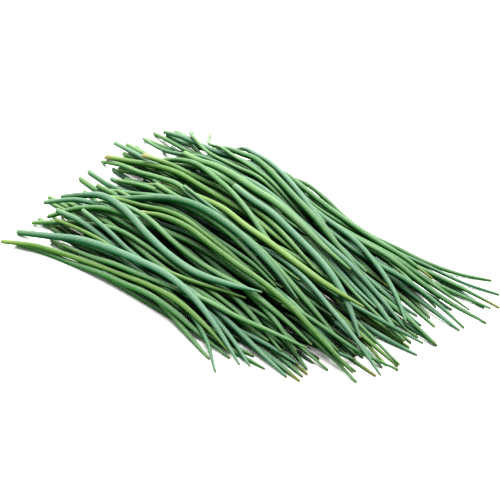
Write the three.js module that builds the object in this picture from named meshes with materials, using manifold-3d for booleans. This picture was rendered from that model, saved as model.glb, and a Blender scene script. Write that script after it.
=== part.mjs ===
// A loose heap of cut chives lying on a table, as it is tipped out to be chopped.
// Millimetres, +Z up, +X from the cut ends to the tips, +Y across the heap.
// Every chive is laid in turn on those below it, so none crosses another.
// Chives that lie on each other and have the same colour are pressed into one solid.

import * as THREE from 'three';
import { mergeVertices } from 'three/addons/utils/BufferGeometryUtils.js';
import Module from 'manifold-3d';

const wasm = await Module();
wasm.setup();

// Driving dimensions of one chive
const SIDES = 5; // flat side down
const FLAT_SIDE = Math.cos(Math.PI / SIDES); // how far a side is from the axis, over the radius
const STATIONS = 9; // points along a chive
const LENGTH = { least: 135, most: 165 };
const RADIUS = { least: 0.95, most: 1.75 };
const BASE_SHRINK = 0.14; // how much narrower the cut end is
const BASE_SPAN = 0.3; // share of the length that it takes to swell
const PRESSED_FLAT = 0.12; // what is nearer the table than this lies flat on it
const TAPER_FROM = 0.7; // where the leaf starts to narrow
const TAPER_POWER = 2.2;
const TIP_RADIUS = 0.55;
const BLUNT_TIP = 0.62; // share of the radius left on a torn tip
const BLUNT_SHARE = 0.06; // of all chives

// Driving dimensions of the heap
const SEED = 11;
const LAYERS = [
  { count: 32, front: -55, back: 57, first: 0, last: 80 },
  { count: 19, front: -28, back: 42, first: 62, last: 86 },
  { count: 11, front: -40, back: 48, first: -8, last: 10 },
  { count: 30, front: -50, back: 53, first: 0, last: 80 },
  { count: 15, front: -42, back: 48, first: 0, last: 80 },
  { count: 8, front: -34, back: 40, first: 0, last: 80 },
];
const CUT_LINE = { x: -118, skew: -0.2 }; // cut ends lie behind it, from first to last above
const TIP_LINE = { x: 110, ragged: 14 }; // no tip passes it, less up to so much
const RECESS = { from: 10, amount: 0.011 }; // how both fall back towards the front
const EDGES = { front: -64, back: 72 }; // what no end of a layer's chives passes
const FAN = { front: -2, back: -12 }; // the mean heading at the two edges
const HEADING_SPREAD = 8;
const TURN_SPREAD = 15;
const HALF_CHIVE = 70; // each is turned about this place along it
const GAP = 0.13; // air left between two chives that touch
const SIDE_STEPS = [0, -1.2, 1.2, -2.4, 2.4, -3.6, 3.6]; // where a chive may roll to
const LEAST_DROP = 0.05; // a chive rolls only where it then lies this much lower
const SAMPLES = 72; // places along a chive that are tried against those below
const SETTLING_STEPS = 140;
const SAG_STEP = 0.35;
const LAST_LIFTS = 20;
const STIFFNESS = 0.3;
const CONTACT = 0.05; // a chive this near its limit lies on the one below

// Driving dimensions of the joins
const MOST_IN_NODE = 5;
const JOIN_RADIUS = 0.6; // of the pressed spot where two chives hold together
const LEAST_JOINED_RADIUS = 0.9;
const MERGED = 1e-4; // vertices nearer than this are one
const JOIN_MARGIN = 0.03; // no join is nearer an end than this share of the length
const UPRIGHT = 0.01; // a join that reaches less far than this in plan stands upright

const TINTS = {
  blue: { share: 0.5, color: 0x3f6f55, roughness: 0.55 },
  green: { share: 0.46, color: 0x4d8a45, roughness: 0.5 },
  lime: { share: 0.04, color: 0x86ad4a, roughness: 0.5 },
};

// The chives that lie on top: where the cut end is, the way the leaf runs at its
// cut end, middle and tip in degrees from +X, its length, its radius and its tint.
const FEATURED = [
  // along the back
  [-34, 65, -12, -5, 32, 136, 1.2, 'green'],
  [-38, 59, -5, -2, 18, 147, 1.0, 'blue'],
  [-36, 53, -6, -3, 8, 150, 1.2, 'green'],
  [-30, 46, -5, 0, 2, 142, 1.1, 'green'],
  [-32, 40, -6, -3, 8, 148, 1.3, 'green'],
  [-28, 34, -8, 0, -4, 138, 1.2, 'blue'],
  [-40, 42, -4, -4, 2, 146, 1.4, 'green'],
  [-50, 38, -4, -8, -42, 148, 1.4, 'blue'],
  [-127, 62, -16, -12, -8, 150, 1.4, 'green'],
  [-126, 52, -12, -10, -8, 150, 1.1, 'blue'],
  [-129, 42, -12, -10, -8, 152, 1.6, 'green'],
  [-128, 28, -10, -9, -6, 150, 1.6, 'blue'],
  [-122, 57, -14, -14, -10, 148, 1.5, 'blue'],
  [-127, 14, -10, -10, -8, 152, 1.4, 'green'],
  [-124, 5, -6, -9, -10, 150, 1.5, 'blue'],
  [-120, 68, -20, -14, -8, 146, 1.4, 'green'],
  [-111, 76, -55, -16, -6, 140, 1.1, 'green'],
  [-104, 76, -55, -20, -8, 140, 1.0, 'green'],
  [-62, 72, -26, -14, -4, 150, 1.4, 'green'],
  [-77, 68, -32, -22, -10, 150, 1.5, 'blue'],
  [-84, 62, -28, -20, -6, 150, 1.6, 'green'],
  // along the front
  [-100, -65, 18, 0, -2, 144, 1.4, 'green'],
  [-95, -50, 0, -3, -40, 145, 1.3, 'blue'],
  [-105, -70, 28, 2, -6, 150, 1.4, 'lime'],
  [-108, -48, 22, 0, -8, 148, 1.4, 'green'],
  [-95, -40, -2, -4, -22, 152, 1.6, 'blue'],
  [-88, -35, -2, -4, -18, 150, 1.4, 'green'],
  [-78, -37, -4, -5, -8, 150, 1.4, 'blue'],
  [-78, -56, 0, 6, 10, 150, 1.3, 'green'],
  [-107, -59, 16, 0, -20, 160, 1.8, 'blue'],
  [-104, -44, 22, 5, -5, 150, 1.6, 'green'],
  [-112, -36, 26, 2, -8, 150, 1.5, 'blue'],
  [-93, -50, -4, 4, 12, 125, 1.1, 'lime'],
  // across the middle
  [-42, -16, -6, -4, 28, 150, 1.1, 'green'],
  [-45, -4, -6, -10, -16, 150, 1.4, 'blue'],
  [-55, -18, -4, -6, -4, 148, 1.5, 'lime'],
  [-66, 4, -10, -10, -8, 146, 1.5, 'green'],
  [-82, -26, -8, -6, 2, 152, 1.5, 'green'],
  [-85, -20, -2, -5, -2, 120, 1.4, 'lime'],
  [-88, -10, -8, -7, -8, 126, 1.3, 'green'],
  [-114, -20, 0, -10, 14, 155, 1.9, 'blue'],
  [-98, 0, -6, -8, -8, 135, 1.5, 'green'],
  [-95, -11, 4, -4, -10, 146, 1.8, 'blue'],
  [-122, 18, 6, -8, -8, 154, 1.7, 'lime'],
  [-93, 14, 14, -12, -14, 140, 1.5, 'lime'],
  [-93, 31, -4, -20, -10, 151, 1.6, 'green'],
  [-81, 38, -20, -10, -3, 138, 2.0, 'green'],
  [-45, -4, -4, -2, 22, 150, 1.0, 'blue'],
  [-24, 12, -8, -14, -35, 112, 1.9, 'blue'],
  [-72, 8, -6, -12, 16, 150, 1.7, 'lime'],
];

/** Returns a function that gives evenly spread numbers from 0 to 1, the same each time. */
function seededNumbers(seed) {
  let state = seed >>> 0;
  return () => {
    state = (state + 0x6d2b79f5) >>> 0;
    let mixed = Math.imul(state ^ (state >>> 15), state | 1);
    mixed ^= mixed + Math.imul(mixed ^ (mixed >>> 7), mixed | 61);
    return ((mixed ^ (mixed >>> 14)) >>> 0) / 4294967296;
  };
}

const random = seededNumbers(SEED);
const between = (least, most) => least + (most - least) * random();
const spreadBy = (amount) => (random() + random() + random() - 1.5) * amount;

/** One drawn tint, by the shares of the tints. */
function drawTint() {
  let left = random();
  for (const [name, { share }] of Object.entries(TINTS)) {
    left -= share;
    if (left < 0) return name;
  }
  return 'green';
}

/** The heading nearest to the one given that keeps both ends between the edges. */
function keptInside(y, heading) {
  const reach = Math.min(y - EDGES.front, EDGES.back - y) / HALF_CHIVE;
  const most = reach < 1 ? THREE.MathUtils.radToDeg(Math.asin(Math.max(0, reach))) : 90;
  return THREE.MathUtils.clamp(heading, -most, most);
}

/** How far the tips and the last cut ends fall back at y. */
function recessAt(y) {
  return RECESS.amount * Math.max(0, RECESS.from - y) ** 2;
}

/** Where a chive of a layer is cut, along X. */
function drawRootX(y, first, last) {
  return CUT_LINE.x + CUT_LINE.skew * y + between(first, Math.max(first, last - recessAt(y)));
}

/** A chive's length, less where its tip would pass the line of the tips. */
function drawLength(x, y, heading) {
  const line = TIP_LINE.x - recessAt(y) - between(0, TIP_LINE.ragged);
  const room = (line - x) / Math.cos(THREE.MathUtils.degToRad(heading));
  return Math.min(between(LENGTH.least, LENGTH.most), room);
}

/** The chives of one layer, evenly spread across it and in a mixed order. */
function layerOfChives({ count, front, back, first, last }) {
  const chives = [];
  for (let i = 0; i < count; i += 1) {
    const y = front + ((back - front) * (i + random())) / count;
    const across = (y - EDGES.front) / (EDGES.back - EDGES.front);
    const drawn = FAN.front + (FAN.back - FAN.front) * across + spreadBy(HEADING_SPREAD);
    const heading = keptInside(y, drawn);
    const order = random();
    const x = drawRootX(y, first, last);
    chives.push({
      order,
      x,
      y: y - Math.sin(THREE.MathUtils.degToRad(heading)) * HALF_CHIVE,
      headings: [heading + spreadBy(TURN_SPREAD), heading, heading + spreadBy(TURN_SPREAD)],
      length: drawLength(x, y, heading),
      radius: between(RADIUS.least, RADIUS.most),
      tint: null,
      blunt: random() < BLUNT_SHARE,
    });
  }
  return chives.sort((a, b) => a.order - b.order);
}

/** A chive of the list above. */
function featuredChive([x, y, atRoot, atMiddle, atTip, length, radius, tint]) {
  return { x, y, headings: [atRoot, atMiddle, atTip], length, radius, tint, blunt: false };
}

/** The way a leaf runs at share t of its length, in radians, through three headings. */
function headingAt([root, middle, tip], t) {
  const degrees = root * (1 - t) * (1 - 2 * t) + middle * 4 * t * (1 - t) + tip * t * (2 * t - 1);
  return THREE.MathUtils.degToRad(degrees);
}

/** The radius at share t of a chive's length. */
function radiusAt(chive, t) {
  const fromCut = Math.max(0, 1 - t / BASE_SPAN);
  const swollen = 1 - BASE_SHRINK * fromCut * fromCut;
  const narrowing = Math.max(0, (t - TAPER_FROM) / (1 - TAPER_FROM));
  const end = chive.blunt ? BLUNT_TIP : TIP_RADIUS / chive.radius;
  return chive.radius * swollen * (1 - (1 - end) * narrowing ** TAPER_POWER);
}

/** The points of a chive in plan, moved sideways by a step. */
function planPoints(chive, sideStep) {
  const across = headingAt(chive.headings, 0.5);
  let x = chive.x - Math.sin(across) * sideStep;
  let y = chive.y + Math.cos(across) * sideStep;
  const points = [[x, y]];
  const step = chive.length / (STATIONS - 1);
  for (let i = 1; i < STATIONS; i += 1) {
    const heading = headingAt(chive.headings, (i - 0.5) / (STATIONS - 1));
    x += Math.cos(heading) * step;
    y += Math.sin(heading) * step;
    points.push([x, y]);
  }
  return points;
}

/** The places along a chive that are tried, as a station, the share past it and t. */
const TRIED = Array.from({ length: SAMPLES }, (_, i) => {
  const t = i / (SAMPLES - 1);
  const station = Math.min(Math.floor(t * (STATIONS - 1)), STATIONS - 2);
  return { station, share: t * (STATIONS - 1) - station, t };
});

/** The height that each tried place needs, and the laid chive and share that set it. */
function neededHeights(chive, plan, laid) {
  return TRIED.map(({ station, share, t }) => {
    const x = plan[station][0] * (1 - share) + plan[station + 1][0] * share;
    const y = plan[station][1] * (1 - share) + plan[station + 1][1] * share;
    const radius = radiusAt(chive, t);
    const needed = { height: radius * FLAT_SIDE, below: null, along: 0 };
    for (const other of laid) {
      if (Math.abs(y - other.middleY) > other.reachY + radius) continue;
      for (let i = 0; i < STATIONS - 1; i += 1) {
        const ax = other.plan[i][0];
        const ay = other.plan[i][1];
        const dx = other.plan[i + 1][0] - ax;
        const dy = other.plan[i + 1][1] - ay;
        const u = Math.min(1, Math.max(0, ((x - ax) * dx + (y - ay) * dy) / (dx * dx + dy * dy)));
        const apart = (x - ax - dx * u) ** 2 + (y - ay - dy * u) ** 2;
        const along = (i + u) / (STATIONS - 1);
        const clear = radius + radiusAt(other, along) + GAP;
        if (apart >= clear * clear) continue;
        const rise = other.heights[i + 1] - other.heights[i];
        const slope = Math.sqrt(1 + (rise * rise) / (dx * dx + dy * dy));
        const height = other.heights[i] + rise * u + Math.sqrt(clear * clear - apart) * slope;
        if (height > needed.height) Object.assign(needed, { height, below: other, along });
      }
    }
    return needed;
  });
}

/** Lifts the stations until every tried place has the height that it needs. */
function liftClear(heights, needed) {
  TRIED.forEach(({ station, share }, i) => {
    const short = needed[i].height - heights[station] * (1 - share) - heights[station + 1] * share;
    if (short <= 0) return;
    const weight = short / ((1 - share) ** 2 + share ** 2);
    heights[station] += weight * (1 - share);
    heights[station + 1] += weight * share;
  });
}

/** The heights of a chive's stations once it has sagged onto what is below it. */
function settledHeights(needed) {
  const top = Math.max(...needed.map(({ height }) => height));
  const heights = new Array(STATIONS).fill(top);
  for (let step = 0; step < SETTLING_STEPS; step += 1) {
    for (let i = 0; i < STATIONS; i += 1) heights[i] -= SAG_STEP;
    for (let i = 1; i < STATIONS - 1; i += 1) {
      const pull = STIFFNESS * ((heights[i - 1] + heights[i + 1]) / 2 - heights[i]);
      heights[i] += pull;
      heights[i - 1] -= pull / 2;
      heights[i + 1] -= pull / 2;
    }
    liftClear(heights, needed);
  }
  for (let step = 0; step < LAST_LIFTS; step += 1) liftClear(heights, needed);
  return heights;
}

/** Lays a chive on those already laid, where it lies lowest. */
function lay(chive, laid) {
  let best = null;
  for (const sideStep of SIDE_STEPS) {
    const plan = planPoints(chive, sideStep);
    const needed = neededHeights(chive, plan, laid);
    const mean = needed.reduce((sum, { height }) => sum + height, 0) / SAMPLES;
    if (!best || mean < best.mean - LEAST_DROP) best = { mean, plan, needed };
  }
  chive.plan = best.plan;
  chive.heights = settledHeights(best.needed);
  const ys = chive.plan.map(([, y]) => y);
  chive.middleY = (Math.max(...ys) + Math.min(...ys)) / 2;
  chive.reachY = (Math.max(...ys) - Math.min(...ys)) / 2 + chive.radius + GAP;
  chive.contacts = TRIED.flatMap(({ station, share, t }, i) => {
    const { height, below, along } = best.needed[i];
    const slack = chive.heights[station] * (1 - share) + chive.heights[station + 1] * share - height;
    if (!below || slack > CONTACT || Math.min(t, along, 1 - t, 1 - along) < JOIN_MARGIN) return [];
    const thinner = Math.min(radiusAt(chive, t), radiusAt(below, along));
    return thinner > LEAST_JOINED_RADIUS ? [{ t, below, along }] : [];
  });
  laid.push(chive);
}

/** The point on a chive's axis at share t of its length. */
function axisPoint(chive, t) {
  const station = Math.min(Math.floor(t * (STATIONS - 1)), STATIONS - 2);
  const share = t * (STATIONS - 1) - station;
  const at = (i) => new THREE.Vector3(...chive.plan[i], chive.heights[i]);
  return at(station).lerp(at(station + 1), share);
}

/** Puts chives that lie on each other in one node, and gives each node one tint. */
function sortIntoNodes(chives) {
  for (const chive of chives) {
    chive.node = { tint: chive.tint, chives: [chive], joins: [] };
    for (const { t, below, along } of chive.contacts) {
      const [mine, other] = [chive.node, below.node];
      const tint = mine.tint ?? other.tint;
      const alike = other.tint === null || other.tint === tint;
      if (mine === other || !alike || mine.chives.length + other.chives.length > MOST_IN_NODE) continue;
      other.joins.push(...mine.joins, { from: axisPoint(chive, t), to: axisPoint(below, along) });
      other.tint = tint;
      for (const joined of mine.chives) {
        joined.node = other;
        other.chives.push(joined);
      }
    }
  }
  const nodes = [...new Set(chives.map(({ node }) => node))];
  for (const node of nodes) node.tint ??= drawTint();
  return nodes;
}

/** A closed solid from vertices and triangles. */
function solidFrom(positions, triangles) {
  const vertProperties = new Float32Array(positions.flat());
  const triVerts = new Uint32Array(triangles.flat());
  return new wasm.Manifold(new wasm.Mesh({ numProp: 3, vertProperties, triVerts }));
}

/** A chive as a tapered tube with a flat side down, a blunt cut end and a pointed tip. */
function chiveSolid(chive) {
  const positions = [];
  const triangles = [];
  const axis = chive.plan.map(([x, y], i) => new THREE.Vector3(x, y, chive.heights[i]));
  for (let i = 0; i < STATIONS; i += 1) {
    const before = axis[Math.max(i - 1, 0)];
    const after = axis[Math.min(i + 1, STATIONS - 1)];
    const along = new THREE.Vector3().subVectors(after, before);
    const side = new THREE.Vector3(-along.y, along.x, 0).normalize();
    const up = new THREE.Vector3().crossVectors(along, side).normalize();
    const radius = radiusAt(chive, i / (STATIONS - 1));
    for (let k = 0; k < SIDES; k += 1) {
      const angle = (2 * Math.PI * (k + 0.5)) / SIDES - Math.PI / 2;
      const point = axis[i].clone();
      point.addScaledVector(side, Math.cos(angle) * radius).addScaledVector(up, Math.sin(angle) * radius);
      positions.push([point.x, point.y, point.z < PRESSED_FLAT ? 0 : point.z]);
    }
  }
  for (let i = 0; i < STATIONS - 1; i += 1) {
    for (let k = 0; k < SIDES; k += 1) {
      const next = (k + 1) % SIDES;
      const [a, b] = [i * SIDES + k, i * SIDES + next];
      triangles.push([a, b, b + SIDES], [a, b + SIDES, a + SIDES]);
    }
  }
  const last = (STATIONS - 1) * SIDES;
  for (let k = 1; k < SIDES - 1; k += 1) {
    triangles.push([0, k + 1, k], [last, last + k, last + k + 1]);
  }
  return solidFrom(positions, triangles);
}

/** The pressed spot between two chives: a small six-sided bead from axis to axis. */
function joinSolid({ from, to }) {
  const along = new THREE.Vector3().subVectors(to, from);
  const side = new THREE.Vector3(along.y, -along.x, 0);
  if (side.length() < UPRIGHT) side.set(1, 0, 0);
  side.normalize();
  const other = new THREE.Vector3().crossVectors(along, side).normalize();
  const middle = new THREE.Vector3().lerpVectors(from, to, 0.5);
  const positions = [from.toArray(), to.toArray()];
  for (let k = 0; k < 3; k += 1) {
    const angle = (2 * Math.PI * k) / 3;
    const point = middle.clone().addScaledVector(side, Math.cos(angle) * JOIN_RADIUS);
    positions.push(point.addScaledVector(other, Math.sin(angle) * JOIN_RADIUS).toArray());
  }
  return solidFrom(positions, [[2, 3, 1], [3, 4, 1], [4, 2, 1], [3, 2, 0], [4, 3, 0], [2, 4, 0]]);
}

/** The joined solid of a node. */
function nodeSolid({ chives, joins }) {
  const pieces = [...chives.map(chiveSolid), ...joins.map(joinSolid)];
  return wasm.Manifold.union(pieces);
}

/** A mesh of a solid, in its tint. */
function meshOf(solid, name, tint) {
  const { vertProperties, triVerts } = solid.getMesh();
  const geometry = new THREE.BufferGeometry();
  geometry.setAttribute('position', new THREE.BufferAttribute(vertProperties, 3));
  geometry.setIndex(new THREE.BufferAttribute(triVerts, 1));
  const merged = mergeVertices(geometry, MERGED);
  merged.computeVertexNormals();
  const { color, roughness } = TINTS[tint];
  const mesh = new THREE.Mesh(merged, new THREE.MeshStandardMaterial({ color, roughness }));
  mesh.name = name;
  return mesh;
}

const laid = [];
LAYERS.flatMap(layerOfChives).forEach((chive) => lay(chive, laid));
FEATURED.map(featuredChive).forEach((chive) => lay(chive, laid));

const heap = new THREE.Group();
sortIntoNodes(laid).forEach((node, i) => {
  heap.add(meshOf(nodeSolid(node), `chives_${String(i + 1).padStart(2, '0')}`, node.tint));
});
const box = new THREE.Box3().setFromObject(heap);
const centre = box.getCenter(new THREE.Vector3());
heap.position.set(-centre.x, -centre.y, 0);
heap.updateMatrixWorld(true);

export default heap;
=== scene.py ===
"""The looks of a loose heap of fresh cut chives lying on a table.

The heap is laid here again by the rule that its solids were laid by, so that each
finely skinned leaf lies where its plain solid does. Lengths are in millimetres until
a mesh is made, which is in metres. +X runs from the cut ends to the tips.
"""
import logging
import math
from collections.abc import Iterable
from dataclasses import dataclass, field
from enum import Enum

import bpy
import numpy as np
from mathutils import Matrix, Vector


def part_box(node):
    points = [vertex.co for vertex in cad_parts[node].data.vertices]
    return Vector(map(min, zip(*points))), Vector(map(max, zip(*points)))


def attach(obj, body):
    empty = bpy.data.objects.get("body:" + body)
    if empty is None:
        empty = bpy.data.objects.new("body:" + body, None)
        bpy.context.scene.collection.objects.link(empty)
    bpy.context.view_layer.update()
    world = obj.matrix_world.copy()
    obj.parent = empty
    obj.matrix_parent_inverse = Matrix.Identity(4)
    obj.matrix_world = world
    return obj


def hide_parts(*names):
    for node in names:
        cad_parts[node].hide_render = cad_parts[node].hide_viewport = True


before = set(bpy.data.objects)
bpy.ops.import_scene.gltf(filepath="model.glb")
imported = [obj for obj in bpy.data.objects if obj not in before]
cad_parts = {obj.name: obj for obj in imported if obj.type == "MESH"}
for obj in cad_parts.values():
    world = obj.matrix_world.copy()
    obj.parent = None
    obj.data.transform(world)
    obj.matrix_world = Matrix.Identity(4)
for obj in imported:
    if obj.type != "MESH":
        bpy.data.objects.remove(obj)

log = logging.getLogger("chives")
MM = 0.001
DEGREE = math.pi / 180
STATIONS = 9
SPANS = STATIONS - 1
SAMPLES = 72
SHADER = "Principled BSDF"

Values = float | np.ndarray
Triple = tuple[float, float, float]
Socket = bpy.types.NodeSocket
Source = bpy.types.NodeSocket | float | Triple


def unit(vectors: np.ndarray) -> np.ndarray:
    """Vectors, one row each, brought to a length of 1."""
    return vectors / np.linalg.norm(vectors, axis=1, keepdims=True)


def level_across(along: np.ndarray) -> np.ndarray:
    """The level unit vectors across directions, one row each."""
    return unit(np.column_stack([-along[:, 1], along[:, 0], np.zeros(len(along))]))


def put(name: str, data: bpy.types.ID) -> bpy.types.Object:
    """Puts something in the scene.

    Args:
        name: the object's name.
        data: its mesh, light or camera.

    Returns:
        The object.
    """
    thing = bpy.data.objects.new(name, data)
    bpy.context.scene.collection.objects.link(thing)
    return thing


class Tint(Enum):
    """The colour of a leaf, in the order in which the shares are drawn."""

    BLUE = "blue"
    GREEN = "green"
    LIME = "lime"


TINT_SHARES = {Tint.BLUE: 0.5, Tint.GREEN: 0.46, Tint.LIME: 0.04}

# The chives that lie on top: where the cut end is, the way the leaf runs at its
# cut end, middle and tip in degrees from +X, its length, its radius and its tint.
FEATURED = [
    # along the back
    (-34, 65, -12, -5, 32, 136, 1.2, Tint.GREEN),
    (-38, 59, -5, -2, 18, 147, 1.0, Tint.BLUE),
    (-36, 53, -6, -3, 8, 150, 1.2, Tint.GREEN),
    (-30, 46, -5, 0, 2, 142, 1.1, Tint.GREEN),
    (-32, 40, -6, -3, 8, 148, 1.3, Tint.GREEN),
    (-28, 34, -8, 0, -4, 138, 1.2, Tint.BLUE),
    (-40, 42, -4, -4, 2, 146, 1.4, Tint.GREEN),
    (-50, 38, -4, -8, -42, 148, 1.4, Tint.BLUE),
    (-127, 62, -16, -12, -8, 150, 1.4, Tint.GREEN),
    (-126, 52, -12, -10, -8, 150, 1.1, Tint.BLUE),
    (-129, 42, -12, -10, -8, 152, 1.6, Tint.GREEN),
    (-128, 28, -10, -9, -6, 150, 1.6, Tint.BLUE),
    (-122, 57, -14, -14, -10, 148, 1.5, Tint.BLUE),
    (-127, 14, -10, -10, -8, 152, 1.4, Tint.GREEN),
    (-124, 5, -6, -9, -10, 150, 1.5, Tint.BLUE),
    (-120, 68, -20, -14, -8, 146, 1.4, Tint.GREEN),
    (-111, 76, -55, -16, -6, 140, 1.1, Tint.GREEN),
    (-104, 76, -55, -20, -8, 140, 1.0, Tint.GREEN),
    (-62, 72, -26, -14, -4, 150, 1.4, Tint.GREEN),
    (-77, 68, -32, -22, -10, 150, 1.5, Tint.BLUE),
    (-84, 62, -28, -20, -6, 150, 1.6, Tint.GREEN),
    # along the front
    (-100, -65, 18, 0, -2, 144, 1.4, Tint.GREEN),
    (-95, -50, 0, -3, -40, 145, 1.3, Tint.BLUE),
    (-105, -70, 28, 2, -6, 150, 1.4, Tint.LIME),
    (-108, -48, 22, 0, -8, 148, 1.4, Tint.GREEN),
    (-95, -40, -2, -4, -22, 152, 1.6, Tint.BLUE),
    (-88, -35, -2, -4, -18, 150, 1.4, Tint.GREEN),
    (-78, -37, -4, -5, -8, 150, 1.4, Tint.BLUE),
    (-78, -56, 0, 6, 10, 150, 1.3, Tint.GREEN),
    (-107, -59, 16, 0, -20, 160, 1.8, Tint.BLUE),
    (-104, -44, 22, 5, -5, 150, 1.6, Tint.GREEN),
    (-112, -36, 26, 2, -8, 150, 1.5, Tint.BLUE),
    (-93, -50, -4, 4, 12, 125, 1.1, Tint.LIME),
    # across the middle
    (-42, -16, -6, -4, 28, 150, 1.1, Tint.GREEN),
    (-45, -4, -6, -10, -16, 150, 1.4, Tint.BLUE),
    (-55, -18, -4, -6, -4, 148, 1.5, Tint.LIME),
    (-66, 4, -10, -10, -8, 146, 1.5, Tint.GREEN),
    (-82, -26, -8, -6, 2, 152, 1.5, Tint.GREEN),
    (-85, -20, -2, -5, -2, 120, 1.4, Tint.LIME),
    (-88, -10, -8, -7, -8, 126, 1.3, Tint.GREEN),
    (-114, -20, 0, -10, 14, 155, 1.9, Tint.BLUE),
    (-98, 0, -6, -8, -8, 135, 1.5, Tint.GREEN),
    (-95, -11, 4, -4, -10, 146, 1.8, Tint.BLUE),
    (-122, 18, 6, -8, -8, 154, 1.7, Tint.LIME),
    (-93, 14, 14, -12, -14, 140, 1.5, Tint.LIME),
    (-93, 31, -4, -20, -10, 151, 1.6, Tint.GREEN),
    (-81, 38, -20, -10, -3, 138, 2.0, Tint.GREEN),
    (-45, -4, -4, -2, 22, 150, 1.0, Tint.BLUE),
    (-24, 12, -8, -14, -35, 112, 1.9, Tint.BLUE),
    (-72, 8, -6, -12, 16, 150, 1.7, Tint.LIME),
]


class SeededNumbers:
    """Evenly spread numbers from 0 to 1, the same each time for one seed."""

    MASK = 0xFFFFFFFF
    STEP = 0x6D2B79F5
    MIDDLE_OF_THREE = 1.5

    def __init__(self, seed: int) -> None:
        """Starts the draws at seed."""
        self.state = seed & self.MASK

    def draw(self) -> float:
        """The next number.

        Returns:
            A number from 0 up to 1.
        """
        self.state = (self.state + self.STEP) & self.MASK
        mixed = (self.state ^ (self.state >> 15)) * (self.state | 1) & self.MASK
        turned = (mixed ^ (mixed >> 7)) * (mixed | 61) & self.MASK
        mixed ^= (mixed + turned) & self.MASK
        return (mixed ^ (mixed >> 14)) / (self.MASK + 1)

    def between(self, least: float, most: float) -> float:
        """A number from least to most."""
        return least + (most - least) * self.draw()

    def spread_by(self, amount: float) -> float:
        """A number round 0, mostly within amount."""
        return (self.draw() + self.draw() + self.draw() - self.MIDDLE_OF_THREE) * amount

    def tint(self) -> Tint:
        """Draws a tint, by the shares of the tints.

        Returns:
            The tint.
        """
        left = self.draw()
        for tint, share in TINT_SHARES.items():
            left -= share
            if left < 0:
                return tint
        return Tint.GREEN


@dataclass(frozen=True)
class Girth:
    """How thick a leaf is along its length."""

    base_shrink: float = 0.14
    base_span: float = 0.3
    taper_from: float = 0.7
    taper_power: float = 2.2
    tip_radius: float = 0.55
    blunt_tip: float = 0.62

    def at(self, radius: Values, blunt: bool | np.ndarray, share: Values) -> Values:
        """The radius at a share of the length, for numbers or arrays.

        Args:
            radius: the leaf's full radius.
            blunt: whether its tip is torn off.
            share: the share of the length from the cut end.

        Returns:
            The radius there.
        """
        from_cut = np.maximum(0.0, 1 - share / self.base_span)
        shrunk = 1 - self.base_shrink * from_cut * from_cut
        narrowing = np.maximum(0.0, (share - self.taper_from) / (1 - self.taper_from))
        end = np.where(blunt, self.blunt_tip, self.tip_radius / radius)
        return radius * shrunk * (1 - (1 - end) * narrowing**self.taper_power)


GIRTH = Girth()


@dataclass
class Contact:
    """Where a chive lies on one laid before it."""

    share: float
    below: "Chive"


@dataclass
class Chive:
    """One leaf: where it is cut, how it runs in plan, and how it has come to lie."""

    x: float
    y: float
    headings: Triple
    length: float
    radius: float
    tint: Tint | None = None
    blunt: bool = False
    order: float = 0.0
    plan: np.ndarray = field(default_factory=lambda: np.zeros((STATIONS, 2)))
    heights: np.ndarray = field(default_factory=lambda: np.zeros(STATIONS))
    contacts: list[Contact] = field(default_factory=list)
    node: "LeafGroup | None" = None

    def heading_at(self, share: float) -> float:
        """The way the leaf runs in plan.

        Args:
            share: the share of its length from the cut end.

        Returns:
            The heading there from +X, in radians.
        """
        root, middle, tip = self.headings
        degrees = root * (1 - share) * (1 - 2 * share) + middle * 4 * share * (1 - share)
        return (degrees + tip * share * (2 * share - 1)) * DEGREE

    def radius_at(self, share: Values) -> Values:
        """The radius at a share of the length, for a number or an array."""
        return GIRTH.at(self.radius, self.blunt, share)

    def plan_points(self, side_step: float) -> np.ndarray:
        """The stations in plan, with the leaf moved sideways.

        Args:
            side_step: how far it is moved to its left.

        Returns:
            One row of x and y for each station.
        """
        across = self.heading_at(0.5)
        x = self.x - math.sin(across) * side_step
        y = self.y + math.cos(across) * side_step
        points = [(x, y)]
        step = self.length / SPANS
        for i in range(1, STATIONS):
            heading = self.heading_at((i - 0.5) / SPANS)
            x += math.cos(heading) * step
            y += math.sin(heading) * step
            points.append((x, y))
        return np.array(points)

    def stations(self) -> np.ndarray:
        """The stations in space, one row each."""
        return np.column_stack([self.plan, self.heights])


@dataclass
class LeafGroup:
    """The chives of one node, which are pressed together and have one tint."""

    tint: Tint | None
    chives: list[Chive]


@dataclass(frozen=True)
class Layer:
    """A layer of the heap: its count, its edges, and where behind the line it is cut."""

    count: int
    front: float
    back: float
    first: float
    last: float


LAYERS = (
    Layer(32, -55, 57, 0, 80),
    Layer(19, -28, 42, 62, 86),
    Layer(11, -40, 48, -8, 10),
    Layer(30, -50, 53, 0, 80),
    Layer(15, -42, 48, 0, 80),
    Layer(8, -34, 40, 0, 80),
)


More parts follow.
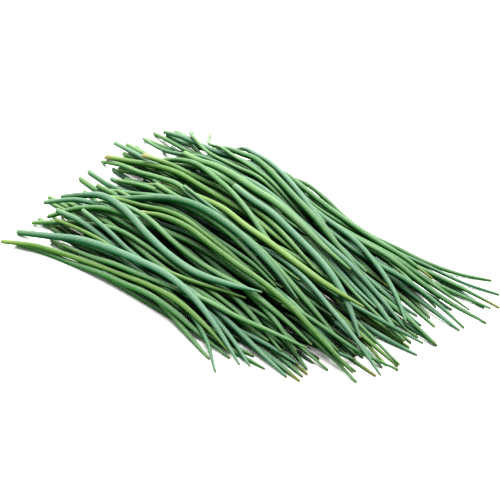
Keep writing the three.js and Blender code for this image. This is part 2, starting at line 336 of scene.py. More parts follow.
class Spans:
    """The straight spans of the chives laid so far, as one array for each measure."""

    def __init__(self, chives: list[Chive]) -> None:
        """Takes the spans.

        Args:
            chives: all that are laid.
        """
        self.starts = np.concatenate([chive.plan[:-1] for chive in chives])
        self.steps = np.concatenate([np.diff(chive.plan, axis=0) for chive in chives])
        self.low = np.concatenate([chive.heights[:-1] for chive in chives])
        self.rise = np.concatenate([np.diff(chive.heights) for chive in chives])
        self.owner = np.repeat(np.arange(len(chives)), SPANS)
        self.number = np.tile(np.arange(SPANS), len(chives))
        self.radius = np.array([chive.radius for chive in chives])[self.owner]
        self.blunt = np.array([chive.blunt for chive in chives])[self.owner]
        self.square = (self.steps**2).sum(1)

    def heights_over(
        self, points: np.ndarray, radius: np.ndarray, gap: float
    ) -> tuple[np.ndarray, np.ndarray]:
        """How high a leaf has to lie at each place to clear each span.

        Args:
            points: the places in plan, one row each.
            radius: the leaf's radius at each.
            gap: how far apart the leaves are kept.

        Returns:
            The heights, a row for each place and a column for each span, with -1 where
            nothing is in the way, and the shares along the leaves below where they are.
        """
        dx = points[:, 0, None] - self.starts[:, 0]
        dy = points[:, 1, None] - self.starts[:, 1]
        past = np.clip((dx * self.steps[:, 0] + dy * self.steps[:, 1]) / self.square, 0, 1)
        apart = (dx - self.steps[:, 0] * past) ** 2 + (dy - self.steps[:, 1] * past) ** 2
        share = (self.number + past) / SPANS
        clear = radius[:, None] + GIRTH.at(self.radius, self.blunt, share) + gap
        room = np.maximum(0.0, clear * clear - apart)
        sloped = np.sqrt(1 + self.rise * self.rise / self.square)
        height = self.low + self.rise * past + np.sqrt(room) * sloped
        return np.where(room > 0, height, -1), share


@dataclass
class Resting:
    """What each tried place along a chive needs so that it clears those below.

    Below is the number of the chive that sets the height, or -1 for the table, and
    along is the share of that chive's length where it does.
    """

    plan: np.ndarray
    needed: np.ndarray
    below: np.ndarray
    along: np.ndarray

    def mean(self) -> float:
        """The mean of the heights."""
        return float(self.needed.sum()) / SAMPLES


@dataclass
class Heap:
    """The whole heap, laid chive by chive on what is below."""

    seed: int = 11
    layers: tuple[Layer, ...] = LAYERS
    least_length: float = 135
    most_length: float = 165
    least_radius: float = 0.95
    most_radius: float = 1.75
    blunt_share: float = 0.06
    cut_line_x: float = -118
    cut_line_skew: float = -0.2
    tip_line_x: float = 110
    tips_ragged: float = 14
    recess_from: float = 10
    recess_amount: float = 0.011
    front_edge: float = -64
    back_edge: float = 72
    fan_front: float = -2
    fan_back: float = -12
    heading_spread: float = 8
    turn_spread: float = 15
    half_chive: float = 70
    gap: float = 0.13
    side_steps: tuple[float, ...] = (0, -1.2, 1.2, -2.4, 2.4, -3.6, 3.6)
    least_drop: float = 0.05
    settling_steps: int = 140
    sag_step: float = 0.35
    last_lifts: int = 20
    stiffness: float = 0.3
    contact: float = 0.05
    flat_side: float = math.cos(math.pi / 5)
    most_in_node: int = 5
    least_joined_radius: float = 0.9
    join_margin: float = 0.03
    chives: list[Chive] = field(default_factory=list)

    def __post_init__(self) -> None:
        """Starts the draws and the places that are tried along every chive."""
        self.numbers = SeededNumbers(self.seed)
        self.shares = np.arange(SAMPLES) / (SAMPLES - 1)
        self.station = np.minimum(np.floor(self.shares * SPANS), SPANS - 1).astype(int)
        self.past = self.shares * SPANS - self.station

    def recess(self, y: float) -> float:
        """How far the tips and the last cut ends fall back at y."""
        return self.recess_amount * max(0.0, self.recess_from - y) ** 2

    def draw_cut_x(self, y: float, layer: Layer) -> float:
        """Where a chive of a layer is cut, along X."""
        last = max(layer.first, layer.last - self.recess(y))
        return self.cut_line_x + self.cut_line_skew * y + self.numbers.between(layer.first, last)

    def draw_length(self, x: float, y: float, heading: float) -> float:
        """A chive's length, less where its tip would pass the line of the tips.

        Args:
            x: where it is cut.
            y: where its middle lies.
            heading: the way that its middle runs, in degrees.

        Returns:
            The length.
        """
        line = self.tip_line_x - self.recess(y) - self.numbers.between(0, self.tips_ragged)
        room = (line - x) / math.cos(heading * DEGREE)
        return min(self.numbers.between(self.least_length, self.most_length), room)

    def kept_inside(self, y: float, heading: float) -> float:
        """The nearest heading that keeps both ends of a chive between the edges.

        Args:
            y: where its middle lies.
            heading: the heading that was drawn, in degrees.

        Returns:
            The heading, in degrees.
        """
        reach = min(y - self.front_edge, self.back_edge - y) / self.half_chive
        most = math.asin(max(0.0, reach)) / DEGREE if reach < 1 else 90
        return max(-most, min(most, heading))

    def draw_chive(self, y: float, layer: Layer) -> Chive:
        """Draws one chive of a layer.

        Args:
            y: where its middle lies.
            layer: the layer that it is in.

        Returns:
            The chive.
        """
        numbers = self.numbers
        across = (y - self.front_edge) / (self.back_edge - self.front_edge)
        drawn = self.fan_front + (self.fan_back - self.fan_front) * across
        heading = self.kept_inside(y, drawn + numbers.spread_by(self.heading_spread))
        order = numbers.draw()
        x = self.draw_cut_x(y, layer)
        at_root = heading + numbers.spread_by(self.turn_spread)
        at_tip = heading + numbers.spread_by(self.turn_spread)
        return Chive(
            x=x,
            y=y - math.sin(heading * DEGREE) * self.half_chive,
            headings=(at_root, heading, at_tip),
            length=self.draw_length(x, y, heading),
            radius=numbers.between(self.least_radius, self.most_radius),
            blunt=numbers.draw() < self.blunt_share,
            order=order,
        )

    def draw_layer(self, layer: Layer) -> list[Chive]:
        """Draws a layer, evenly spread across it and in a mixed order.

        Args:
            layer: the layer's count and edges.

        Returns:
            The chives, in the order in which they are laid.
        """
        chives = []
        for i in range(layer.count):
            y = layer.front + ((layer.back - layer.front) * (i + self.numbers.draw())) / layer.count
            chives.append(self.draw_chive(y, layer))
        return sorted(chives, key=lambda chive: chive.order)

    def along_stations(self, stations: np.ndarray) -> np.ndarray:
        """What the tried places have, of something that the stations have."""
        past = self.past[:, None] if stations.ndim > 1 else self.past
        return stations[self.station] * (1 - past) + stations[self.station + 1] * past

    def resting(self, chive: Chive, plan: np.ndarray, laid: Spans | None) -> Resting:
        """How a chive would rest on those below, if it were laid at that plan.

        Args:
            chive: the chive to lay.
            plan: its stations in plan.
            laid: the spans of those already laid, or None for the first.

        Returns:
            What each tried place needs.
        """
        radius = chive.radius_at(self.shares)
        needed = radius * self.flat_side
        if laid is None:
            return Resting(plan, needed, np.full(SAMPLES, -1), np.zeros(SAMPLES))
        height, share = laid.heights_over(self.along_stations(plan), radius, self.gap)
        rows = np.arange(SAMPLES)
        best = height.argmax(1)
        higher = height[rows, best] > needed
        return Resting(
            plan=plan,
            needed=np.where(higher, height[rows, best], needed),
            below=np.where(higher, laid.owner[best], -1),
            along=np.where(higher, share[rows, best], 0),
        )

    def lift_clear(self, heights: list[float], tried: list[tuple[int, float, float]]) -> None:
        """Lifts the stations until every tried place has the height that it needs.

        Args:
            heights: the stations' heights, which are changed.
            tried: for each place its station, the share past it and the height.
        """
        for station, share, needed in tried:
            short = needed - heights[station] * (1 - share) - heights[station + 1] * share
            if short > 0:
                weight = short / ((1 - share) ** 2 + share**2)
                heights[station] += weight * (1 - share)
                heights[station + 1] += weight * share

    def settled_heights(self, needed: np.ndarray) -> np.ndarray:
        """The stations' heights once a chive has sagged onto what is below it.

        Args:
            needed: the heights that its tried places need.

        Returns:
            One height for each station.
        """
        heights = [float(needed.max())] * STATIONS
        tried = list(zip(self.station.tolist(), self.past.tolist(), needed.tolist()))
        for _ in range(self.settling_steps):
            for i in range(STATIONS):
                heights[i] -= self.sag_step
            for i in range(1, STATIONS - 1):
                pull = self.stiffness * ((heights[i - 1] + heights[i + 1]) / 2 - heights[i])
                heights[i] += pull
                heights[i - 1] -= pull / 2
                heights[i + 1] -= pull / 2
            self.lift_clear(heights, tried)
        for _ in range(self.last_lifts):
            self.lift_clear(heights, tried)
        return np.array(heights)

    def note_contacts(self, chive: Chive, resting: Resting) -> None:
        """Notes where a chive touches those below, away from the ends of both.

        Args:
            chive: the chive, which has settled.
            resting: what its tried places need.
        """
        short = self.along_stations(chive.heights) - resting.needed
        for i, share in enumerate(self.shares):
            along = resting.along[i]
            ends = min(share, along, 1 - share, 1 - along)
            if resting.below[i] < 0 or short[i] > self.contact or ends < self.join_margin:
                continue
            other = self.chives[resting.below[i]]
            if min(chive.radius_at(share), other.radius_at(along)) > self.least_joined_radius:
                chive.contacts.append(Contact(share, other))

    def lay(self, chive: Chive) -> None:
        """Lays a chive on those already laid, a step to one side if it lies lower there.

        Args:
            chive: the chive to lay.
        """
        laid = Spans(self.chives) if self.chives else None
        best = None
        for side_step in self.side_steps:
            tried = self.resting(chive, chive.plan_points(side_step), laid)
            if best is None or tried.mean() < best.mean() - self.least_drop:
                best = tried
        chive.plan = best.plan
        chive.heights = self.settled_heights(best.needed)
        self.note_contacts(chive, best)
        self.chives.append(chive)

    def lay_all(self) -> None:
        """Lays every layer and then the chives on top."""
        for layer in [self.draw_layer(layer) for layer in self.layers]:
            for chive in layer:
                self.lay(chive)
        for x, y, at_root, at_middle, at_tip, length, radius, tint in FEATURED:
            self.lay(Chive(x, y, (at_root, at_middle, at_tip), length, radius, tint))

    def sort_into_groups(self) -> list[LeafGroup]:
        """Puts chives that lie on each other in one group, and gives each group a tint.

        Returns:
            The groups, in the order of the solids' nodes.
        """
        for chive in self.chives:
            chive.node = LeafGroup(chive.tint, [chive])
            for contact in chive.contacts:
                mine, other = chive.node, contact.below.node
                tint = mine.tint or other.tint
                alike = other.tint is None or other.tint == tint
                too_many = len(mine.chives) + len(other.chives) > self.most_in_node
                if mine is other or not alike or too_many:
                    continue
                other.tint = tint
                for joined in mine.chives:
                    joined.node = other
                    other.chives.append(joined)
        groups = list({id(chive.node): chive.node for chive in self.chives}.values())
        for group in groups:
            group.tint = group.tint or self.numbers.tint()
        return groups


@dataclass
class CoarseSolid:
    """The plain five-sided solid of a chive, used only to set the heap on its frame."""

    sides: int = 5
    pressed_flat: float = 0.12

    def points(self, chive: Chive) -> np.ndarray:
        """The corners of the solid, as the frame's nodes have them.

        Args:
            chive: a laid chive.

        Returns:
            One row for each corner.
        """
        axis = chive.stations()
        number = np.arange(STATIONS)
        along = axis[np.minimum(number + 1, SPANS)] - axis[np.maximum(number - 1, 0)]
        side = level_across(along)
        up = unit(np.cross(along, side))
        radius = chive.radius_at(number / SPANS)[:, None, None]
        angle = 2 * math.pi * (np.arange(self.sides) + 0.5) / self.sides - math.pi / 2
        across, above = np.cos(angle)[None, :, None], np.sin(angle)[None, :, None]
        ring = across * side[:, None] + above * up[:, None]
        points = (axis[:, None] + ring * radius).reshape(-1, 3)
        points[points[:, 2] < self.pressed_flat, 2] = 0
        return points


@dataclass
class HeapTop:
    """How high the heap stands over each place in plan, to tell how deep a leaf lies and paint shade
    there.
    """

    heap: Heap
    cell: float = 2.0
    reach: int = 90
    spread: int = 2
    # Painted shade starts this far below the heap's top and is full this deep.
    clear: float = 1.2
    deep: float = 7.0
    places: int = 160

    def __post_init__(self) -> None:
        """Marks the highest leaf in each cell, spread to the cells about it."""
        self.top = np.zeros((2 * self.reach, 2 * self.reach))
        number = np.arange(STATIONS)
        share = np.linspace(0, SPANS, self.places)
        for chive in self.heap.chives:
            x, y, z = (np.interp(share, number, column) for column in chive.stations().T)
            np.maximum.at(self.top, self.cells(x, y), z)
        steps = range(-self.spread, self.spread + 1)
        moved = [np.roll(self.top, (i, j), (0, 1)) for i in steps for j in steps]
        self.top = np.mean(moved, axis=0)

    def cells(self, x: np.ndarray, y: np.ndarray) -> tuple[np.ndarray, np.ndarray]:
        """The cells that places in plan fall in."""
        last = 2 * self.reach - 1
        return tuple(np.clip((v / self.cell).astype(int) + self.reach, 0, last) for v in (x, y))

    def painted_depth_shade(self, points: np.ndarray) -> np.ndarray:
        """How much painted shade points get for lying below the top, 0 there and 1 in the depths.

        Args:
            points: one row each, in the heap's own place.

        Returns:
            One number for each.
        """
        below = self.top[self.cells(points[:, 0], points[:, 1])] - points[:, 2]
        return np.clip((below - self.clear) / (self.deep - self.clear), 0, 1)


@dataclass
class Skin:
    """The vertices, faces and painted values of one or more fine leaves."""

    vertices: list[np.ndarray] = field(default_factory=list)
    faces: list[list[int]] = field(default_factory=list)
    values: dict[str, list[np.ndarray]] = field(default_factory=dict)
    count: int = 0

    def add(self, vertices: np.ndarray, faces: list[list[int]], values: dict[str, np.ndarray]) -> None:
        """Adds a closed leaf.

        Args:
            vertices: one row each, in millimetres.
            faces: corners counted from the leaf's own first vertex.
            values: painted values, one for each vertex.
        """
        self.faces += [[corner + self.count for corner in face] for face in faces]
        self.vertices.append(vertices)
        for name, painted in values.items():
            self.values.setdefault(name, []).append(painted)
        self.count += len(vertices)


@dataclass(frozen=True)
class Growth:
    """How one leaf has grown: its uneven girth, its pinched cut end and its tone."""

    chive: Chive
    sheathed: bool
    phase: float
    twist: float
    wave_starts: list[float]
    pinch: float
    tone: float
    start: float
    dry: bool


@dataclass
class FineLeaf:
    """A round hollow leaf with a cut end, fine growth marks and a withered tip."""

    sides: int = 16
    rings: int = 60
    crowding: float = 0.35
    fill: float = 0.98
    oval: float = 0.05
    most_twist: float = 2.0
    uneven: float = 0.035
    waves: int = 3
    wave_rate: float = 7.0
    most_wave_start: float = 6.0
    most_pinch: float = 0.22
    pinch_reach: float = 0.02
    wall: float = 0.3
    lip_out: float = 0.04
    mouth_depth: float = 2.2
    mouth_width: float = 0.9
    mouth_end: float = 0.3
    rim_round: float = 0.09
    tip_width: float = 0.55
    tip_reach: float = 0.7
    most_start: float = 900
    dry_share: float = 0.07
    dry_from: float = 0.93
    green_to: float = 0.996
    least_withered: float = 0.01
    stalk_radius: float = 1.5
    sheath_length: float = 4.5
    sheath_full: float = 1.25
    sheath_middle: float = 1.6
    sheath_spread: float = 2.2
    sheath_swell: float = 0.2
    cut_rows: Triple = (1, 1, 0.7)
    # How strongly each row in the hollow and on the rim is painted with shade.
    hollow_shade_rows: Triple = (1, 0.15, 0)

    def __post_init__(self) -> None:
        """Sets the angles round a ring, and where the rings stand, closer at both ends."""
        self.rows = len(self.cut_rows) + self.rings + 1
        self.angles = 2 * math.pi * np.arange(self.sides) / self.sides
        even = np.linspace(0, 1, self.rings)
        self.shares = even - self.crowding * np.sin(2 * math.pi * even) / (2 * math.pi)

    def grow(self, chive: Chive, numbers: SeededNumbers) -> Growth:
        """Draws how one leaf has grown. A thick pale stalk keeps a dry sheath at its cut end.

        Args:
            chive: the laid chive.
            numbers: where its own marks are drawn from.

        Returns:
            Its growth.
        """
        return Growth(
            chive=chive,
            sheathed=chive.tint is Tint.LIME and chive.radius >= self.stalk_radius,
            phase=2 * math.pi * numbers.draw(),
            twist=numbers.spread_by(self.most_twist),
            wave_starts=[self.most_wave_start * numbers.draw() for _ in range(self.waves)],
            pinch=self.most_pinch * numbers.draw(),
            tone=numbers.draw(),
            start=numbers.draw() * self.most_start,
            dry=numbers.draw() < self.dry_share,
        )

    def centre_line(self, stations: np.ndarray) -> tuple[np.ndarray, np.ndarray]:
        """A smooth line through the stations.

        Args:
            stations: the points that it goes through.

        Returns:
            The points and the unit directions at the rings.
        """
        before, after = 2 * stations[0] - stations[1], 2 * stations[-1] - stations[-2]
        padded = np.vstack([before, stations, after])
        scaled = self.shares * SPANS
        i = np.minimum(np.floor(scaled), SPANS - 1).astype(int)
        u = (scaled - i)[:, None]
        a, b, c, d = padded[i], padded[i + 1], padded[i + 2], padded[i + 3]
        once, squared, cubed = c - a, 2 * a - 5 * b + 4 * c - d, 3 * b - 3 * c + d - a
        points = 0.5 * (2 * b + once * u + squared * u**2 + cubed * u**3)
        along = 0.5 * (once + 2 * squared * u + 3 * cubed * u**2)
        return points, unit(along)

    def girth(self, leaf: Growth) -> np.ndarray:
        """The radius of each ring, with its unevenness and the swelling of a sheath.

        Args:
            leaf: how the leaf has grown.

        Returns:
            One radius for each ring.
        """
        waves = sum(
            np.sin(self.shares * k * self.wave_rate + start) / k
            for k, start in enumerate(leaf.wave_starts, 1)
        )
        radius = leaf.chive.radius_at(self.shares) * self.fill * (1 + self.uneven * waves)
        from_middle = (self.shares * leaf.chive.length - self.sheath_middle) / self.sheath_spread
        swell = np.exp(-(from_middle**2))
        return radius * (1 + self.sheath_swell * leaf.sheathed * swell)

    def outward(self, along: np.ndarray, leaf: Growth) -> np.ndarray:
        """The ways out from the centre line, longer where the leaf is wider.

        Args:
            along: the directions of the centre line.
            leaf: how the leaf has grown.

        Returns:
            One vector for each side of each ring.
        """
        side = level_across(along)
        up = np.cross(along, side)
        turned = self.angles[None, :] - leaf.phase - leaf.twist * self.shares[:, None]
        out = 1 + self.oval * np.cos(2 * turned)
        pinch = (leaf.pinch * np.exp(-self.shares / self.pinch_reach))[:, None]
        wide = np.cos(self.angles)[None, :] * (1 + pinch)
        tall = np.sin(self.angles)[None, :] * (1 - pinch)
        return (wide[..., None] * side[:, None] + tall[..., None] * up[:, None]) * out[..., None]

    def vertices(self, leaf: Growth) -> np.ndarray:
        """The leaf's vertices, from deep in the hollow over the rim and on to the tip.

        Args:
            leaf: how the leaf has grown.

        Returns:
            One row each, in rows round the leaf, and last the middles of both ends.
        """
        points, along = self.centre_line(leaf.chive.stations())
        radius = self.girth(leaf)
        ring = self.outward(along, leaf)
        first, back, mouth = points[0], along[0], ring[0] * radius[0]
        deep = first + mouth * (self.mouth_width - self.wall) + back * self.mouth_depth
        lip = first + mouth * (1 - self.wall) - back * self.lip_out
        rim = first + mouth * (1 - self.rim_round) - back * self.rim_round * radius[0]
        body = points[:, None] + ring * radius[:, None, None]
        end = ring[-1] * radius[-1] * self.tip_width
        tip = points[-1] + end + along[-1] * radius[-1] * self.tip_reach
        rows = np.concatenate([deep[None], lip[None], rim[None], body, tip[None]])
        inner = first + back * (self.mouth_depth + self.mouth_end)
        outer = points[-1] + along[-1] * radius[-1]
        vertices = np.concatenate([rows.reshape(-1, 3), inner[None], outer[None]])
        vertices[:, 2] = np.maximum(vertices[:, 2], 0)
        return vertices

    def faces(self) -> list[list[int]]:
        """The faces between the rows of vertices, and the fans that close both ends.

        Returns:
            Each face's corners, counted so that it faces out.
        """
        sides, rows = self.sides, self.rows
        faces = []
        for row in range(rows - 1):
            for k in range(sides):
                a, b = row * sides + k, row * sides + (k + 1) % sides
                faces.append([a, b, b + sides, a + sides])
        inner, outer, last = rows * sides, rows * sides + 1, (rows - 1) * sides
        for k in range(sides):
            after = (k + 1) % sides
            faces.append([inner, after, k])
            faces.append([outer, last + k, last + after])
        return faces

    def on_vertices(self, mouth: Triple, body: np.ndarray, ends: tuple[float, float]) -> np.ndarray:
        """One value for each vertex, alike round each row.

        Args:
            mouth: the values of the rows in the hollow and on the rim.
            body: the values of the rows from there to the tip.
            ends: the values of the middles of both ends.

        Returns:
            The values.
        """
        return np.concatenate([np.repeat(np.concatenate([mouth, body]), self.sides), ends])

    def paint(self, leaf: Growth) -> dict[str, np.ndarray]:
        """The values that the finish reads at each vertex.

        Args:
            leaf: how the leaf has grown.

        Returns:
            The painted values by name. The place is across and up the ring, and along
            the leaf from a start of its own.
        """
        past_rim = np.zeros(self.rings + 1)
        share = self.on_vertices((0, 0, 0), np.append(self.shares, 1), (0, 1))
        dry_from = self.dry_from if leaf.dry else self.green_to
        withered = (share - dry_from) / max(self.least_withered, 1 - dry_from)
        from_cut = share * leaf.chive.length / self.sheath_length
        place = np.zeros((len(share), 3))
        place[:-2, 0] = np.tile(np.cos(self.angles), self.rows)
        place[:-2, 1] = np.tile(np.sin(self.angles), self.rows)
        place[:, 2] = share * leaf.chive.length + leaf.start
        return {
            "share": share,
            "cut": self.on_vertices(self.cut_rows, past_rim, (1, 0)),
            # Painted shade inside the hollow cut end.
            "hollow": self.on_vertices(self.hollow_shade_rows, past_rim, (1, 0)),
            "withered": np.clip(withered, 0, 1),
            "tone": np.full(len(share), leaf.tone),
            "place": place,
            "sheath": leaf.sheathed * np.clip(self.sheath_full - from_cut, 0, 1),
        }

    def skin(
        self, chive: Chive, numbers: SeededNumbers, top: HeapTop, shift: np.ndarray
    ) -> tuple[np.ndarray, list[list[int]], dict[str, np.ndarray]]:
        """The leaf's skin as one closed surface.

        Args:
            chive: the laid chive.
            numbers: where the leaf's own marks are drawn from.
            top: how high the heap stands.
            shift: how far the heap is moved to sit on its frame.

        Returns:
            The vertices in millimetres, the faces and the painted values.
        """
        leaf = self.grow(chive, numbers)
        vertices = self.vertices(leaf)
        values = self.paint(leaf)
        # Painted shade on each vertex by how deep it lies under the heap's top.
        values["painted_depth_shade"] = top.painted_depth_shade(vertices)
        vertices[:, :2] += shift[:2]
        return vertices, self.faces(), values


def linear(colour: Triple) -> tuple[float, ...]:
    """A colour as it looks, 0 to 255, as the light that it returns, 0 to 1."""
    return tuple(((c / 255 + 0.055) / 1.055) ** 2.4 if c > 10 else c / 255 / 12.92 for c in colour)


@dataclass(frozen=True)
class Pattern:
    """A soft pattern on a leaf: how it is stretched round and along it, and how fine."""

    stretch: Triple
    scale: float
    detail: float


STREAK = Pattern((1.3, 1.3, 0.03), 3.0, 3.0)
FINE_STREAK = Pattern((9.0, 9.0, 0.12), 2.0, 2.0)
PATCH = Pattern((0.6, 0.6, 0.05), 1.0, 2.0)
SPECK = Pattern((2.8, 2.8, 1.1), 1.0, 3.0)


class NodeTree:
    """Short ways to add the few kinds of node that the finishes use."""

    def __init__(self, material: bpy.types.Material) -> None:
        """Takes a material's tree, and adds what all the colours follow.

        Args:
            material: a new material.
        """
        self.tree = material.node_tree
        self.shader = self.tree.nodes[SHADER]
        self.place = self.attribute("place", "Vector")
        # How far each place on the ring faces up, which sets the painted highlight on top and the
        # painted shade below.
        self.height = self.node("ShaderNodeSeparateXYZ", {0: self.place}).outputs[1]
        self.streak = self.pattern(STREAK)
        self.fine = self.pattern(FINE_STREAK)

    def link(self, source: Source, target: Socket) -> None:
        """Sets a socket.

        Args:
            source: another socket, a number, or a colour as it looks.
            target: the socket to set.
        """
        if isinstance(source, Socket):
            self.tree.links.new(source, target)
        elif isinstance(source, tuple) and target.type == "RGBA":
            target.default_value = (*linear(source), 1.0)
        else:
            target.default_value = source

    def node(self, kind: str, sources: dict[str | int, Source], **settings: str) -> bpy.types.Node:
        """Adds a node.

        Args:
            kind: the node's kind.
            sources: what its input sockets take, by name or number.
            **settings: what is chosen on the node itself.

        Returns:
            The node.
        """
        node = self.tree.nodes.new(kind)
        for name, choice in settings.items():
            setattr(node, name, choice)
        for name, source in sources.items():
            self.link(source, node.inputs[name])
        return node

    def attribute(self, name: str, output: str = "Fac") -> Socket:
        """What is painted on the leaves under a name, as a Fac or a Vector."""
        return self.node("ShaderNodeAttribute", {}, attribute_name=name).outputs[output]

    def pattern(self, pattern: Pattern) -> Socket:
        """A soft pattern over the places on a leaf.

        Args:
            pattern: how it is stretched and how fine it is.

        Returns:
            Its socket, from 0 to 1.
        """
        inputs = {0: self.place, 1: pattern.stretch}
        stretched = self.node("ShaderNodeVectorMath", inputs, operation="MULTIPLY").outputs[0]
        inputs = {"Vector": stretched, "Scale": pattern.scale, "Detail": pattern.detail}
        return self.node("ShaderNodeTexNoise", inputs).outputs[0]

    def math(self, operation: str, first: Source, second: Source) -> Socket:
        """The sum or the product of two values."""
        return self.node("ShaderNodeMath", {0: first, 1: second}, operation=operation).outputs[0]

    def ramp(self, value: Socket, rise: Triple) -> Socket:
        """A smooth rise from 0.

        Args:
            value: what it follows.
            rise: the values at which it starts and stops, and what it rises to.

        Returns:
            Its socket.
        """
        inputs = dict(zip(("Value", "From Min", "From Max", "To Max"), (value, *rise)))
        return self.node("ShaderNodeMapRange", inputs, interpolation_type="SMOOTHSTEP").outputs[0]

    def mix(self, amount: Source, first: Source, second: Source) -> Socket:
        """The first colour where amount is 0, and the second where it is 1."""
        return self.node("ShaderNodeMix", {0: amount, 6: first, 7: second}, data_type="RGBA").outputs[2]


@dataclass(frozen=True)
class LeafFinish:
    """The finish of the leaves of one tint.

    Colours are given as they look, 0 to 255. A rise says where a value starts to show,
    where it shows in full, and how strongly.
    """

    slot: str
    # The dark end of the leaf's tone, also used as painted shade on its underside and in its hollow.
    dark_tone_and_shade: Triple
    light: Triple
    base: Triple
    # The pale waxy bloom, also used as the painted highlight along the leaf's top.
    bloom_and_highlight: Triple = (140, 152, 138)
    withered: Triple = (116, 116, 62)
    cut: Triple = (186, 186, 146)
    sheath: Triple = (142, 134, 104)
    # The painted shade colour for leaves deep in the heap, and how strongly it is painted.
    deep: Triple = (0, 32, 7)
    painted_shade_amount: float = 0.94
    tone_weight: float = 0.65
    streak_weight: float = 0.45
    tone_rise: Triple = (0.2, 0.85, 1)
    patch_rise: Triple = (0.42, 0.7, 0.16)
    fine_rise: Triple = (0.4, 0.62, 0.32)
    speck_rise: Triple = (0.4, 0.72, 0.26)
    root_rise: Triple = (0.16, 0.0, 0.75)
    # A painted highlight along the leaf's top, and painted shade on its underside.
    painted_highlight_rise: Triple = (-0.2, 0.95, 0.34)
    painted_shade_rise: Triple = (0.7, -0.3, 0.95)
    least_roughness: float = 0.42
    roughness_range: float = 0.16
    ridge_strength: float = 0.25
    ridge_height: float = 0.12 * MM
    specular: float = 0.1
    scatter: float = 0.04
    scatter_radius: Triple = (0.4, 1.0, 0.2)
    scatter_scale: float = 1.2 * MM

    def material(self) -> bpy.types.Material:
        """Makes the finish's material.

        Returns:
            The material, whose colours come from what is painted on the leaves.
        """
        material = bpy.data.materials.new(self.slot)
        material.use_nodes = True
        nodes = NodeTree(material)
        colour = self.with_ends(nodes, self.leaf_colour(nodes))
        nodes.link(colour, nodes.shader.inputs["Base Color"])
        self.set_surface(nodes)
        return material

    def leaf_colour(self, nodes: NodeTree) -> Socket:
        """The colour of a fresh leaf: its tone and streaks, then coat over coat, ending with a painted
        highlight on its top and painted shade on its underside.

        Args:
            nodes: the material's nodes.

        Returns:
            The colour's socket.
        """
        tone = nodes.math("MULTIPLY", nodes.attribute("tone"), self.tone_weight)
        mixed = nodes.math("ADD", tone, nodes.math("MULTIPLY", nodes.streak, self.streak_weight))
        colour = nodes.mix(nodes.ramp(mixed, self.tone_rise), self.dark_tone_and_shade, self.light)
        for value, rise, over in (
            (nodes.pattern(PATCH), self.patch_rise, self.bloom_and_highlight),
            (nodes.fine, self.fine_rise, self.base),
            (nodes.pattern(SPECK), self.speck_rise, self.bloom_and_highlight),
            (nodes.attribute("share"), self.root_rise, self.base),
            # Painted highlight on the top and painted shade on the underside.
            (nodes.height, self.painted_highlight_rise, self.bloom_and_highlight),
            (nodes.height, self.painted_shade_rise, self.dark_tone_and_shade),
        ):
            colour = nodes.mix(nodes.ramp(value, rise), colour, over)
        return colour

    def with_ends(self, nodes: NodeTree, colour: Socket) -> Socket:
        """The leaf's colour with its withered tip, its cut end, painted shade in its hollow and painted
        shade where it lies deep in the heap.

        Args:
            nodes: the material's nodes.
            colour: the colour of a fresh leaf.

        Returns:
            The colour's socket.
        """
        for name, over in (
            ("withered", self.withered),
            ("sheath", self.sheath),
            ("cut", self.cut),
            # Painted shade inside the hollow cut end.
            ("hollow", self.dark_tone_and_shade),
        ):
            colour = nodes.mix(nodes.attribute(name), colour, over)
        # Painted shade where the leaf lies deep under the others.
        painted_depth_shade = nodes.math("MULTIPLY", nodes.attribute("painted_depth_shade"), self.painted_shade_amount)
        return nodes.mix(painted_depth_shade, colour, self.deep)

    def set_surface(self, nodes: NodeTree) -> None:
        """Sets the sheen of the skin, its fine ridges and the light that it lets through.

        Args:
            nodes: the material's nodes.
        """
        inputs = nodes.shader.inputs
        rough = nodes.math("MULTIPLY", nodes.fine, self.roughness_range)
        nodes.link(nodes.math("ADD", rough, self.least_roughness), inputs["Roughness"])
        ridges = {
            "Strength": self.ridge_strength,
            "Distance": self.ridge_height,
            "Height": nodes.math("ADD", nodes.streak, nodes.fine),
        }
        nodes.link(nodes.node("ShaderNodeBump", ridges).outputs[0], inputs["Normal"])
        inputs["Specular IOR Level"].default_value = self.specular
        inputs["Subsurface Weight"].default_value = self.scatter
        inputs["Subsurface Radius"].default_value = self.scatter_radius
        inputs["Subsurface Scale"].default_value = self.scatter_scale


FINISHES = {
    Tint.BLUE: LeafFinish("blue_green_leaf", (0, 94, 46), (58, 110, 86), (102, 138, 98)),
    Tint.GREEN: LeafFinish("green_leaf", (0, 96, 18), (70, 120, 54), (110, 140, 84)),
    Tint.LIME: LeafFinish(
        # A weaker painted highlight on the lime leaves.
        "lime_leaf", (36, 98, 8), (98, 130, 46), (128, 148, 74), painted_highlight_rise=(-0.2, 0.95, 0.24)
    ),
}


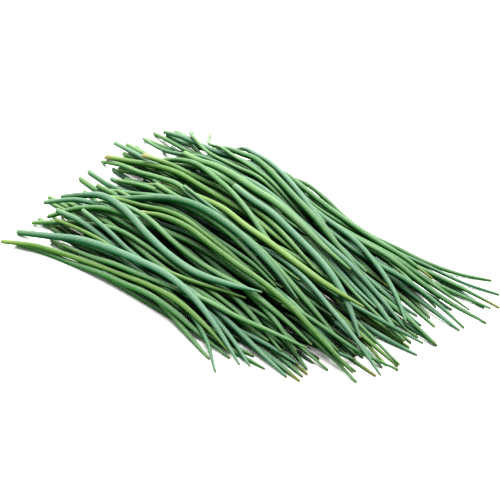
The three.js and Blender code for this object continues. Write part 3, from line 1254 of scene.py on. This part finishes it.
@dataclass
class LeafPieces:
    """The heap's visible pieces, one for each node of the frame."""

    heap: Heap
    leaf: FineLeaf = field(default_factory=FineLeaf)
    coarse: CoarseSolid = field(default_factory=CoarseSolid)
    mark_seed: int = 4

    def __post_init__(self) -> None:
        """Measures the laid heap's top."""
        self.top = HeapTop(self.heap)

    def extent(self, chives: list[Chive]) -> np.ndarray:
        """The lowest and the highest corner of the plain solids of several chives."""
        points = np.concatenate([self.coarse.points(chive) for chive in chives])
        return np.array([points.min(0), points.max(0)])

    def shift(self) -> np.ndarray:
        """How far the heap moves so that its solids lie in the middle, as the frame's do."""
        return -self.extent(self.heap.chives).sum(0) / 2 * np.array([1, 1, 0])

    def misfit(self, group: LeafGroup, node: str, shift: np.ndarray) -> float:
        """How far a group's solids are from the node's own box at most, in millimetres."""
        apart = self.extent(group.chives) + shift - np.array(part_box(node)) / MM
        return float(np.abs(apart).max())

    def mesh(self, name: str, skin: Skin) -> bpy.types.Mesh:
        """Makes the mesh of a skin, in metres and with its painted values.

        Args:
            name: the mesh's name.
            skin: the vertices in millimetres, the faces and the values.

        Returns:
            The mesh.
        """
        mesh = bpy.data.meshes.new(name)
        mesh.from_pydata((np.concatenate(skin.vertices) * MM).tolist(), [], skin.faces)
        for title, painted in skin.values.items():
            column = np.concatenate(painted).astype(np.float32)
            vector = column.ndim == 2
            layer = mesh.attributes.new(title, "FLOAT_VECTOR" if vector else "FLOAT", "POINT")
            layer.data.foreach_set("vector" if vector else "value", column.ravel())
        mesh.polygons.foreach_set("use_smooth", [True] * len(mesh.polygons))
        mesh.update()
        return mesh

    def make(
        self, group: LeafGroup, name: str, numbers: SeededNumbers, shift: np.ndarray
    ) -> bpy.types.Object:
        """Makes the piece of one group.

        Args:
            group: the chives in it.
            name: the piece's name.
            numbers: where the leaves' own marks are drawn from.
            shift: how far the heap is moved.

        Returns:
            The piece, in metres.
        """
        skin = Skin()
        for chive in group.chives:
            skin.add(*self.leaf.skin(chive, numbers, self.top, shift))
        return put(name, self.mesh(name, skin))

    def build(self) -> None:
        """Makes, dresses and reports every piece."""
        groups = self.heap.sort_into_groups()
        shift = self.shift()
        numbers = SeededNumbers(self.mark_seed)
        materials = {tint: finish.material() for tint, finish in FINISHES.items()}
        for count, group in enumerate(groups, 1):
            node = f"chives_{count:02d}"
            piece = self.make(group, f"leaves_{count:02d}", numbers, shift)
            piece.data.materials.append(materials[group.tint])
            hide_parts(node)
            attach(piece, "root")
            off = self.misfit(group, node, shift)
            log.info("%s: %d leaves, %.3f mm from its solid's box", piece.name, len(group.chives), off)


@dataclass(frozen=True)
class Lamp:
    """A square soft lamp that faces the heap, in metres and watts."""

    name: str
    place: Triple
    size: float
    power: float
    colour: Triple

    def hang(self) -> None:
        """Hangs the lamp in the scene."""
        light = bpy.data.lights.new(self.name, "AREA")
        light.size = self.size
        light.energy = self.power
        light.color = self.colour
        lamp = put(self.name, light)
        lamp.location = self.place
        lamp.rotation_euler = (-Vector(self.place)).to_track_quat("-Z", "Y").to_euler()


LAMPS = (
    Lamp("window", (-0.55, 0.75, 0.9), 0.5, 17, (1, 0.99, 0.97)),
    Lamp("overhead", (-0.1, 0.0, 1.2), 0.7, 16, (1, 1, 1)),
)


@dataclass
class Studio:
    """A plain white table, soft light from above and behind, and the camera."""

    azimuth: float = 42
    elevation: float = 35
    distance: float = 650
    lens: float = 93.6
    nearest: float = 0.05
    aim: Triple = (7.1, -2.7, 8)
    half_table: float = 4.0
    table_drop: float = 0.0002
    table_colour: Triple = (0.93, 0.905, 0.89)
    table_roughness: float = 0.6
    air_colour: Triple = (0.97, 0.98, 1)
    air_strength: float = 0.6

    def table(self) -> None:
        """Lays the white table."""
        half = self.half_table
        mesh = bpy.data.meshes.new("table")
        places = [(-half, -half, 0), (half, -half, 0), (half, half, 0), (-half, half, 0)]
        mesh.from_pydata(places, [], [[0, 1, 2, 3]])
        table = put("table", mesh)
        material = bpy.data.materials.new("table")
        material.use_nodes = True
        shader = material.node_tree.nodes[SHADER]
        shader.inputs["Base Color"].default_value = (*self.table_colour, 1)
        shader.inputs["Roughness"].default_value = self.table_roughness
        mesh.materials.append(material)
        table.location.z = -self.table_drop

    def lights(self) -> None:
        """Hangs the lamps and sets the light all round."""
        world = bpy.data.worlds.new("studio")
        bpy.context.scene.world = world
        world.use_nodes = True
        background = world.node_tree.nodes["Background"]
        background.inputs["Color"].default_value = (*self.air_colour, 1)
        background.inputs["Strength"].default_value = self.air_strength
        for lamp in LAMPS:
            lamp.hang()

    def camera(self) -> None:
        """Sets the camera at the photograph's angle."""
        azimuth, elevation = self.azimuth * DEGREE, self.elevation * DEGREE
        level = math.cos(elevation)
        back = Vector((math.sin(azimuth) * level, -math.cos(azimuth) * level, math.sin(elevation)))
        data = bpy.data.cameras.new("camera")
        data.lens = self.lens
        data.clip_start = self.nearest
        camera = put("camera", data)
        camera.location = (Vector(self.aim) + back * self.distance) * MM
        camera.rotation_euler = back.to_track_quat("Z", "Y").to_euler()
        bpy.context.scene.camera = camera

    def build(self) -> None:
        """Sets up the table, the lights and the camera."""
        self.table()
        self.lights()
        self.camera()
        view = bpy.context.scene.view_settings
        view.view_transform = "Standard"
        view.look = "High Contrast"


def main() -> None:
    """Builds the studio and the heap, and reports each piece."""
    logging.basicConfig(level=logging.INFO, format="%(message)s")
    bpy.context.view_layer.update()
    Studio().build()
    heap = Heap()
    heap.lay_all()
    LeafPieces(heap).build()


if __name__ == "__main__":
    main()
